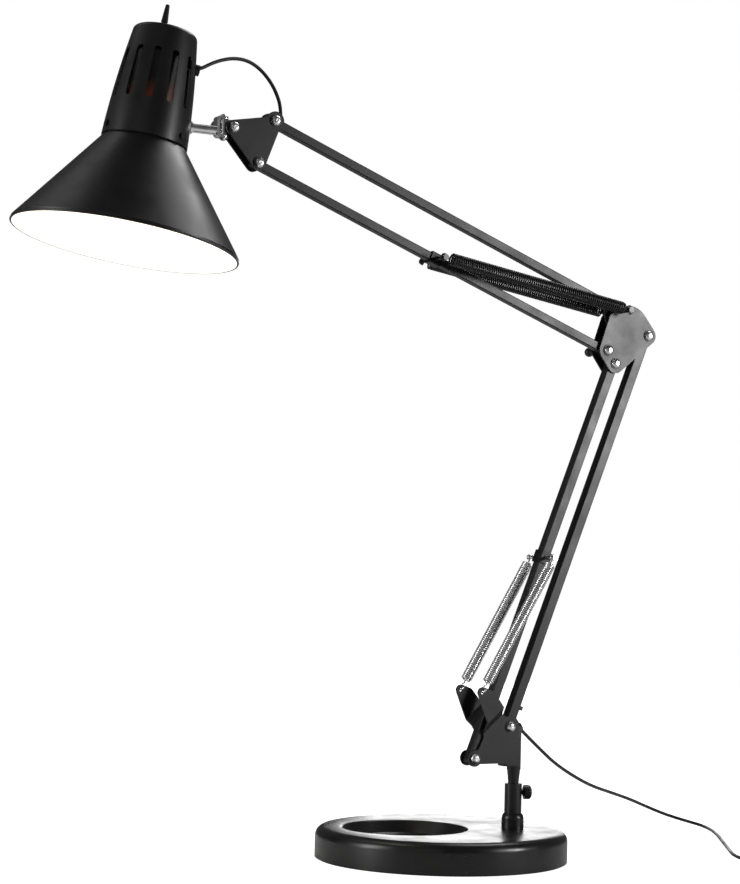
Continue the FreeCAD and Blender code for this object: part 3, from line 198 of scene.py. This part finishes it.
cord_black = surface("cord pvc", (0.004, 0.004, 0.0044), (0.008, 0.008, 0.0085),
                     rough=(0.38, 0.5), size=0.0006, bump=0.25, specular=0.3)
cord_exit = (0.007, 0.002, 0.1026)
cord_route = [(20.4, 11.4, 95.2), (38.5, 21.4, 84.4), (62.5, 36.2, 71.2), (93.0, 55.6, 58.6),
              (129.0, 79.6, 46.2), (170.0, 108.6, 36.2), (211.0, 137.6, 26.0),
              (243.0, 155.0, 16.0), (266.0, 158.0, 8.0), (280.0, 146.0, 3.2),
              (282.0, 125.0, 1.5), (272.0, 99.5, 1.5), (254.0, 66.0, 1.5), (229.5, 27.0, 1.5),
              (204.0, -14.5, 1.5), (177.0, -58.0, 1.5), (172.3, -92.6, 1.5)]
coil_centre = (0.176, -0.128)
coil_start = math.radians(150)
coil_layer_turns = 3.0
coil_layers = 4
coil_turns = 11.25
coil_pitch = 0.0033
coil_inner = 0.011
coil_outer = coil_inner + coil_layer_turns * coil_pitch
coil_climb_turns = 0.5
coil_lift = 0.0001
coil_points_per_turn = 16


def coil_point(turns):
    """The spiral goes in and out again a layer at a time, and climbs where it reverses."""
    phase = turns % (2 * coil_layer_turns)
    inward = phase if phase <= coil_layer_turns else 2 * coil_layer_turns - phase
    layer = sum(min(1.0, max(0.0, (turns - k * coil_layer_turns + coil_climb_turns / 2)
                                  / coil_climb_turns)) for k in range(1, coil_layers))
    radius = coil_outer - coil_pitch * inward
    turn = coil_start + 2 * math.pi * turns
    return Vector((coil_centre[0] + radius * math.cos(turn),
                   coil_centre[1] + radius * math.sin(turn),
                   cord_radius + coil_lift + coil_pitch * layer))


# The tail goes on along the coil's last turn, aside and down to the plug, which lies flat.
coil_line = [coil_point(i / coil_points_per_turn)
             for i in range(round(coil_turns * coil_points_per_turn) + 1)]
leaving = coil_point(coil_turns) - coil_point(coil_turns - 0.02)
leaving = Vector((leaving.x, leaving.y, 0)).normalized()
beside = Vector((-leaving.y, leaving.x, 0))
coil_end = coil_line[-1] + leaving * 0.0028
plug_axis_height = 0.007
depth_in_plug = 0.011
tail_line = [coil_end + leaving * along - beside * aside - Vector((0, 0, down))
             for along, aside, down in ((0.012, 0.0, 0.001), (0.024, 0.0015, 0.004))]
tail_low = coil_end + leaving * 0.036 - beside * 0.004
tail_low.z = plug_axis_height
plug_way = tail_low - tail_line[-1]
plug_way = Vector((plug_way.x, plug_way.y, 0)).normalized()
tail_line += [tail_low, tail_low + plug_way * depth_in_plug]
cord_path = read_line([cord_exit] + metres(cord_route) + coil_line + tail_line)
mains = sweep("mains_lead", cord_path, cord_radius)
mains.data.materials.append(cord_black)
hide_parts("mains_cord", "cord_coil", "plug_tail")
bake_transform(mains)

# ---- head cord -------------------------------------------------------------------------------
# The same cord leaves the neck through a grommet and arches over to the hole in the top bar.
# It is swept as three stretches, cut near the swivel block and near the head bracket.
loop_points = [(-305.14, -4.14, 598.35), (-295.36, -6.43, 596.63), (-283.17, -5.2, 603.89),
               (-272.85, -3.4, 608.21), (-262.16, -2.0, 610.79), (-251.14, -0.9, 610.39),
               (-241.15, 0.0, 606.07), (-232.78, 0.0, 598.51), (-226.57, 0.0, 589.61),
               (-221.88, 0.0, 577.92), (-221.88, 0.0, 565.82)]
swivel_side = -0.266
bracket_side = -0.2335
loop_path = read_line(metres(loop_points))
near_swivel = next(i for i, p in enumerate(loop_path) if p.x > swivel_side)
near_bracket = next(i for i, p in enumerate(loop_path) if p.x > bracket_side)
stretches = [
    ("head_lead_shade", 0, near_swivel, "shade", "swivel_block",
     (-0.292, 0, 0.6), (-0.2666, 0, 0.6)),
    ("head_lead_swivel", near_swivel, near_bracket, "swivel_block", "head_bracket",
     (-0.2645, 0, 0.6), (-0.235, 0, 0.6)),
    ("head_lead_arm", near_bracket, len(loop_path) - 1, "head_bracket", "upper_top",
     (-0.22, 0, 0.5965), (-0.22, 0, 0.572))]
for name, first, last, from_body, to_body, start, end in stretches:
    path = loop_path[first:last + 1]
    lead = sweep(name, path, cord_radius)
    lead.data.materials.append(cord_black)
    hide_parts("head_cord_loop")
    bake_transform(lead)

# ---- cord inside the arms --------------------------------------------------------------------
# The same cord runs through the top bar, crosses the elbow between its plates and goes down
# inside the rear bar. The crossing is cut in two where it passes from one arm to the other.
bridge_points = [(80.47, 0, 449.31), (77.79, 0, 441.13), (88.48, 0, 421.25), (96.12, 0, 413.38),
                 (104.95, 0, 416.65), (113.91, 0, 413.74)]
bridge_cut_height = 0.4225
bridge_path = read_line(metres(bridge_points))
middle = next(i for i, p in enumerate(bridge_path) if p.z < bridge_cut_height)
for name, path, from_body, to_body, start, end in (
        ("elbow_lead_upper", bridge_path[:middle + 1], "upper_top", "elbow",
         (0.08, 0, 0.444), (0.08, 0, 0.4245)),
        ("elbow_lead_lower", bridge_path[middle:], "elbow", "rear_arm",
         (0.0905, 0, 0.41), (0.1095, 0, 0.41))):
    lead = sweep(name, path, cord_radius)
    lead.data.materials.append(cord_black)
    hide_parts("elbow_cord_bridge")
    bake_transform(lead)
paint(cord_black, "upper_cord_run", "lower_cord_run")

# ---- base ------------------------------------------------------------------------------------
# A steel cover in smooth black enamel, pressed over a cast iron weight with a rubber pad under
# it; the nut of the post clamps them. Its edge is rounded and its top is sunk to a round dish.
base_radius = 0.1
base_height = 0.0246
base_edge = 0.0075
base_skirt = 0.0008
base_inner_radius = 0.0988
base_underside = 0.0124
base_centre = (-0.054713, 0.018946)
dish_centre = (-0.082778, 0.028664)
dish_radius = 0.05
dish_floor = base_height - 0.0105
dish_lip = 0.0022
dish_bend = 0.004
wall_run, wall_rise = 0.0035, 0.007
wall_lean = math.atan2(wall_run, wall_rise)
lip_centre = (dish_radius + dish_lip * (1 - math.sin(wall_lean)) / math.cos(wall_lean),
              base_height - dish_lip)
bend_height = dish_floor + dish_bend
bend_centre = (dish_radius - (dish_bend + (base_height - bend_height) * math.sin(wall_lean))
               / math.cos(wall_lean), bend_height)
edge_steps = 12
dish_steps = 8
spin_steps = 192


def arc(centre, radius, first, whole, steps):
    """Points of an arc in a profile of radii and heights."""
    turns = [first + whole * i / steps for i in range(steps + 1)]
    return [(centre[0] + radius * math.cos(t), centre[1] + radius * math.sin(t)) for t in turns]


def shape_mesh(name, shape):
    """The mesh of a bmesh, which is freed."""
    mesh = bpy.data.meshes.new(name)
    shape.to_mesh(mesh)
    shape.free()
    return mesh


edge_profile = [(0.0, base_underside), (base_inner_radius, base_underside),
                (base_inner_radius, base_skirt), (base_radius, base_skirt)]
for i in range(edge_steps + 1):
    turn = math.radians(90 * i / edge_steps)
    edge_profile.append((base_radius - base_edge * (1 - math.cos(turn)),
                         base_height - base_edge * (1 - math.sin(turn))))
dish_profile = arc(lip_centre, dish_lip, math.pi / 2, math.pi / 2 - wall_lean, dish_steps)
dish_profile += arc(bend_centre, dish_bend, -wall_lean, wall_lean - math.pi / 2, dish_steps)
dish_profile.append((0.0, dish_floor))
pressing = bmesh.new()
for centre, profile in ((base_centre, edge_profile), (dish_centre, dish_profile)):
    verts = [pressing.verts.new((centre[0] + r, centre[1], z)) for r, z in profile]
    edges = [pressing.edges.new(pair) for pair in zip(verts, verts[1:])]
    bmesh.ops.spin(pressing, geom=verts + edges, cent=(*centre, 0), axis=(0, 0, 1),
                   angle=2 * math.pi, steps=spin_steps, use_merge=True)
bmesh.ops.remove_doubles(pressing, verts=pressing.verts, dist=1e-6)
top_edges = [e for e in pressing.edges
             if e.is_boundary and e.verts[0].co.z > base_height - 1e-5]
bmesh.ops.triangle_fill(pressing, edges=top_edges, use_beauty=True)
bmesh.ops.recalc_face_normals(pressing, faces=pressing.faces)
cover = smooth_object("base_pressing", shape_mesh("base_pressing", pressing))
cover.data.set_sharp_from_angle(angle=math.radians(50))
base_black = surface("base enamel", (0.003, 0.003, 0.0033), (0.006, 0.0055, 0.0055),
                     rough=(0.26, 0.36), size=0.0011, bump=0.05, specular=0.45)
cover.data.materials.append(base_black)
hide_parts("base_cover")
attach(cover, "base")
cast_grey = surface("cast iron", (0.09, 0.09, 0.09), (0.14, 0.13, 0.12),
                    rough=(0.6, 0.8), size=0.002, bump=0.5, metallic=0.6)
paint(cast_grey, "base_weight")
pad_black = surface("pad rubber", (0.02, 0.02, 0.02), (0.035, 0.035, 0.034),
                    rough=(0.7, 0.9), size=0.0012, bump=0.5)
paint(pad_black, "base_pad")

# ---- post and thumb screw --------------------------------------------------------------------
# The socket is turned steel with a thicker foot, under satin black paint, and a zinc nut holds
# it to the base. Its screw has a fluted plastic knob and clamps the turret's steel foot.
satin_black = surface("satin paint", (0.004, 0.004, 0.0046), (0.008, 0.008, 0.009),
                      rough=(0.32, 0.42), size=0.0007, bump=0.12, specular=0.4)
knob_black = surface("knob plastic", (0.004, 0.004, 0.004), (0.008, 0.008, 0.008),
                     rough=(0.3, 0.45), size=0.0008, bump=0.15, specular=0.35)
zinc = surface("zinc plate", (0.62, 0.62, 0.64), (0.8, 0.8, 0.81),
               rough=(0.18, 0.34), size=0.0005, bump=0.15, metallic=1.0)
paint(satin_black, "post_socket", "turret_foot")
paint(zinc, "socket_nut")
paint(knob_black, "thumb_screw", "elbow_knob", "head_wing_nut")

# ---- plates and bars -------------------------------------------------------------------------
# Stamped steel plates and square steel tubes in fine satin powder paint, held together by the
# bolts at their pivots. Bent steel clips sit on two of the bars and carry the springs' pins.
paint(satin_black, "bracket_plate_near", "bracket_plate_far", "elbow_plate_near",
      "elbow_plate_far", "head_plate_near", "head_plate_far")
bar_black = surface("bar paint", (0.005, 0.005, 0.0058), (0.009, 0.009, 0.0103),
                    rough=(0.33, 0.44), size=0.0006, bump=0.12, specular=0.4)
paint(bar_black, "rear_lower_bar", "front_lower_bar", "upper_top_bar", "upper_bottom_bar")
clip_black = surface("clip paint", (0.003, 0.003, 0.003), (0.006, 0.006, 0.006),
                     rough=(0.3, 0.4), size=0.0006, bump=0.1, specular=0.3)
paint(clip_black, "lower_spring_clip", "upper_spring_clip")

# ---- bolts, nuts and washers -----------------------------------------------------------------
# Domed steel bolts and nuts in bright zinc plate, each on a dark washer. The pins that
# the upper springs hook on are dark as well.
washer_dark = surface("dark washer", (0.03, 0.03, 0.032), (0.05, 0.05, 0.052),
                      rough=(0.35, 0.5), size=0.0006, bump=0.15, metallic=0.8)
pin_dark = surface("pin oxide", (0.05, 0.05, 0.052), (0.09, 0.09, 0.095),
                   rough=(0.3, 0.45), size=0.0006, bump=0.1, metallic=0.9)
paint(zinc, "bracket_bolts", "bracket_nuts", "elbow_bolts", "elbow_nuts", "head_bolts",
      "head_nuts", "head_clamp_bolt", "lower_spring_pin")
paint(washer_dark, "bracket_washers", "elbow_washers", "head_washers")
paint(pin_dark, "upper_spring_pin", "spring_anchor_bolt")

# ---- springs ---------------------------------------------------------------------------------
# Four extension springs of round steel wire, hooked on a pin or an ear at each end: a bright
# pair on the lower arm and a black pair on the upper arm.
bright_wire = surface("bright wire", (0.72, 0.72, 0.73), (0.85, 0.85, 0.86),
                      rough=(0.16, 0.3), size=0.0005, bump=0.1, metallic=1.0)
black_wire = surface("black wire", (0.006, 0.006, 0.0065), (0.012, 0.012, 0.013),
                     rough=(0.3, 0.42), size=0.0005, bump=0.1, specular=0.4)
spring_side = 0.0165
spring_lead = 0.0052
hook_turn = 270
hook_step = 15
points_per_curl = 12


def spring_path(start, end, hook_start, hook_end, across_start, across_end, coil_radius, turns):
    """Hook, lead, curls, lead and hook, as points of one wire."""
    way = (end - start).normalized()
    side = Vector((0, 1, 0))
    up = way.cross(side)
    last = turns * points_per_curl
    pitch = ((end - start).length - 2 * spring_lead) / turns
    points = []
    for degrees in range(hook_turn, -1, -hook_step):
        turn = math.radians(degrees)
        points.append(start + (way * math.cos(turn) + across_start * math.sin(turn)) * hook_start)
    for i in range(last + 1):
        turn = 2 * math.pi * i / points_per_curl
        grow = min(1.0, (i + 2) / points_per_curl, (last - i + 2) / points_per_curl)
        points.append(start + way * (spring_lead + pitch * i / points_per_curl)
                      + (side * math.cos(turn) + up * math.sin(turn)) * coil_radius * grow)
    for degrees in range(0, hook_turn + 1, hook_step):
        turn = math.radians(degrees)
        points.append(end + (way * -math.cos(turn) + across_end * math.sin(turn)) * hook_end)
    return points


def join(name, parts):
    """One mesh object from several."""
    shape = bmesh.new()
    for part in parts:
        shape.from_mesh(part.data)
        bpy.data.objects.remove(part)
    return smooth_object(name, shape_mesh(name, shape))


ear = Vector((-0.041, 0, 0.1335))
lower_pin = Vector((0.02307, 0, 0.2401))
upper_pin = Vector((-0.08428, 0, 0.47308))
anchor = Vector((0.09241, 0, 0.44413))
ear_ring = 0.0033
# Each kind: names, steel, radii of wire and curls, number of curls, ends, radii of the hooks,
# whether it starts in an ear, its two bodies and the stretch of it that bends between them.
spring_kinds = [
    ("lower_spring_pair", "lower_springs", "lower_spring_steel", bright_wire, 0.0007, 0.0038, 70,
     ear + (lower_pin - ear).normalized() * ear_ring, lower_pin, ear_ring, 0.00245, True,
     "turret", "front_arm", 0.0, 0.45),
    ("upper_spring_pair", "upper_springs", "upper_spring_steel", black_wire, 0.0008, 0.0044, 84,
     upper_pin, anchor, 0.00265, 0.00315, False,
     "upper_bottom", "elbow", 0.55, 1.0)]
for (name, node, slot_name, metal, wire, coil, turns, start, end, hook_start, hook_end, in_ear,
     from_body, to_body, first_bend, last_bend) in spring_kinds:
    pair = []
    for side in (-1, 1):
        a, b = start.copy(), end.copy()
        a.y = b.y = side * spring_side
        up = (b - a).normalized().cross(Vector((0, 1, 0)))
        across = Vector((0, 1, 0)) if in_ear else up
        wire_path = spring_path(a, b, hook_start, hook_end, across, up, coil, turns)
        pair.append(sweep(name, wire_path, wire, sides=8))
    springs = join(name, pair)
    springs.data.materials.append(metal)
    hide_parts(node)
    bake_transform(springs)

# ---- head swivel -----------------------------------------------------------------------------
# A nickel-plated block is clamped between the head's plates. Its upright pin holds the fork of
# the rod that carries the shade, with a nut inside the neck.
nickel = surface("nickel plate", (0.66, 0.66, 0.67), (0.78, 0.78, 0.79),
                 rough=(0.12, 0.26), size=0.0005, bump=0.08, metallic=1.0)
paint(nickel, "swivel_barrel", "shade_rod", "pan_pin", "rod_nut", "switch_body", "bulb_cap")

# ---- shade -----------------------------------------------------------------------------------
# A spun cone and a vented neck in satin black paint, screwed together, with white enamel inside
# the cone, given a painted glow of the bulb's light. The neck holds a dark plastic lampholder,
# given a painted warm glow of that light near the frosted bulb, which is lit.
rim_centre = Vector((-0.34694, 0, 0.46458))
shade_turn = Matrix.Rotation(math.radians(10.0), 4, "Y")


def glow(material, colour, strength):
    """Light given off by a surface."""
    shader = material.node_tree.nodes["Principled BSDF"]
    shader.inputs["Emission Color"].default_value = (*colour, 1.0)
    shader.inputs["Emission Strength"].default_value = strength


shade_black = surface("shade paint", (0.004, 0.004, 0.0042), (0.007, 0.007, 0.0073),
                      rough=(0.34, 0.44), size=0.0006, bump=0.08, specular=0.4)
paint(shade_black, "shade_cone", "neck_cover")
paint(satin_black, "neck_screws", "switch_lever", "neck_grommet")
holder_black = surface("holder plastic", (0.004, 0.0035, 0.0035), (0.007, 0.006, 0.006),
                       rough=(0.5, 0.65), size=0.001, bump=0.1, specular=0.3)
# Painted glow: the holder gives off red light that fades out upwards from the bulb, standing in
# for the bulb's light on it.
glow(holder_black, (1.0, 0.2, 0.09), 0.0)
holder_nodes, holder_links = holder_black.node_tree.nodes, holder_black.node_tree.links
holder_place = holder_nodes.new("ShaderNodeTexCoord")
holder_axis = holder_nodes.new("ShaderNodeSeparateXYZ")
painted_bulb_glow = holder_nodes.new("ShaderNodeMapRange")
painted_bulb_glow.inputs["From Min"].default_value = 0.585
painted_bulb_glow.inputs["From Max"].default_value = 0.558
painted_bulb_glow.inputs["To Min"].default_value = 0.0
painted_bulb_glow.inputs["To Max"].default_value = 0.07
holder_links.new(holder_place.outputs["Object"], holder_axis.inputs[0])
holder_links.new(holder_axis.outputs["Z"], painted_bulb_glow.inputs["Value"])
holder_links.new(painted_bulb_glow.outputs["Result"],
                 holder_nodes["Principled BSDF"].inputs["Emission Strength"])
paint(holder_black, "lampholder")

# The lining's profile, radii and heights in mm from the rim: round the lower half of the bead,
# up the inside of the cone to the neck, and back just under it.
bead_centre = (84.3, 0.0)
bead_radius = 0.96
bead_cover = [(bead_centre[0] + bead_radius * math.cos(math.radians(a)),
               bead_centre[1] + bead_radius * math.sin(math.radians(a)))
              for a in range(237, 119, -9)]
liner_profile = bead_cover + [(83.72, 1.6), (29.85, 74.9), (29.85, 83.5), (29.65, 83.5),
                              (29.65, 74.7), (83.4, 1.5), (83.0, 0.6), bead_cover[0]]
lining = bmesh.new()
verts = [lining.verts.new((r / 1000, 0, z / 1000)) for r, z in liner_profile]
edges = [lining.edges.new(pair) for pair in zip(verts, verts[1:])]
bmesh.ops.spin(lining, geom=verts + edges, cent=(0, 0, 0), axis=(0, 0, 1), angle=2 * math.pi,
               steps=96, use_merge=True)
bmesh.ops.remove_doubles(lining, verts=lining.verts, dist=1e-6)
bmesh.ops.transform(lining, matrix=Matrix.Translation(rim_centre) @ shade_turn,
                    verts=lining.verts)
bmesh.ops.recalc_face_normals(lining, faces=lining.faces)
liner = smooth_object("shade_lining", shape_mesh("shade_lining", lining))
enamel_painted_glow = surface("white enamel", (0.85, 0.82, 0.76), (0.88, 0.85, 0.79),
                       rough=(0.3, 0.45), size=0.001, bump=0.05)
# Painted glow: the enamel gives off warm light, standing in for the bulb's light on the inside of
# the cone.
glow(enamel_painted_glow, (1.0, 0.93, 0.8), 0.75)
liner.data.materials.append(enamel_painted_glow)
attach(liner, "shade")
lit_glass = surface("lit bulb", (0.95, 0.93, 0.88), (0.97, 0.95, 0.9),
                    rough=(0.3, 0.4), size=0.001, bump=0.02)
glow(lit_glass, (1.0, 0.9, 0.72), 3.0)
paint(lit_glass, "bulb_glass")

# ---- plug and gland --------------------------------------------------------------------------
# A plug moulded on the cord, with two brass blades, and the rubber gland on the turret that the
# cord comes out of.
plug_black = surface("plug pvc", (0.014, 0.014, 0.014), (0.022, 0.022, 0.022),
                     rough=(0.4, 0.55), size=0.0007, bump=0.2)
paint(plug_black, "plug_body", "cord_gland")
brass = surface("brass blades", (0.75, 0.56, 0.25), (0.82, 0.64, 0.33),
                rough=(0.2, 0.35), size=0.0006, bump=0.1, metallic=1.0)
paint(brass, "plug_pins")

# ---- floor and light -------------------------------------------------------------------------
# A pale floor and soft studio light. The camera sees the floor and the world as white, which
# comes from Light Path in their materials, and the floor keeps the lamp's shadow.
floor_height = -0.0003
floor_shape = bmesh.new()
bmesh.ops.create_grid(floor_shape, x_segments=1, y_segments=1, size=30.0,
                      matrix=Matrix.Translation((0, 0, floor_height)))
floor = link(bpy.data.objects.new("floor", shape_mesh("floor", floor_shape)))
floor_paint = bpy.data.materials.new("pale floor")
floor_paint.use_nodes = True
glow(floor_paint, (1, 1, 1), 0.0)
floor_nodes, floor_links = floor_paint.node_tree.nodes, floor_paint.node_tree.links
floor_shader = floor_nodes["Principled BSDF"]
floor_shader.inputs["Base Color"].default_value = (0.8, 0.8, 0.8, 1.0)
floor_shader.inputs["Roughness"].default_value = 0.9
floor_shader.inputs["Specular IOR Level"].default_value = 0.0
seen = floor_nodes.new("ShaderNodeLightPath")
bright = floor_nodes.new("ShaderNodeMath")
bright.operation = "MULTIPLY"
bright.inputs[1].default_value = 0.94
floor_links.new(seen.outputs["Is Camera Ray"], bright.inputs[0])
floor_links.new(bright.outputs[0], floor_shader.inputs["Emission Strength"])
floor.data.materials.append(floor_paint)

world = bpy.data.worlds.new("studio")
scene.world = world
world.use_nodes = True
sky, sky_links = world.node_tree.nodes, world.node_tree.links
backdrop = sky["Background"]
path_kind = sky.new("ShaderNodeLightPath")
clear = sky.new("ShaderNodeMath")
clear.operation = "MAXIMUM"
level = sky.new("ShaderNodeMapRange")
level.inputs["To Min"].default_value = 0.08
level.inputs["To Max"].default_value = 1.0
backdrop.inputs["Color"].default_value = (1, 1, 1, 1)
sky_links.new(path_kind.outputs["Is Camera Ray"], clear.inputs[0])
sky_links.new(path_kind.outputs["Is Transmission Ray"], clear.inputs[1])
sky_links.new(clear.outputs[0], level.inputs["Value"])
sky_links.new(level.outputs["Result"], backdrop.inputs["Strength"])
# Each lamp: name, place, the point it is turned to, width, height and power in watts.
for name, place, aim, width, height, power in (
        ("front right", (0.96, -1.23, 0.56), (0.08, 0, 0.42), 0.35, 0.5, 15.0),
        ("top left", (-0.79, 0.64, 1.53), (-0.33, 0, 0.5), 0.5, 0.7, 1.2),
        ("top right", (0.52, 0.28, 1.44), (-0.33, 0, 0.5), 0.4, 0.6, 6.5),
        ("front left", (-1.3, -1.2, 0.9), (-0.1, 0, 0.3), 0.9, 1.1, 1.0),
        ("left", (-1.6, 0.2, 0.5), (-0.15, 0, 0.3), 0.4, 0.9, 12.0),
        ("back right", (1.4, 2.0, 0.4), (0, 0, 0.1), 0.8, 0.6, 6.0)):
    lamp_data = bpy.data.lights.new(name, "AREA")
    lamp_data.shape = "RECTANGLE"
    lamp_data.size = width
    lamp_data.size_y = height
    lamp_data.energy = power
    lamp = link(bpy.data.objects.new(name, lamp_data))
    lamp.location = place
    lamp.rotation_euler = (Vector(place) - Vector(aim)).to_track_quat("Z", "Y").to_euler()
scene.view_settings.view_transform = "Standard"
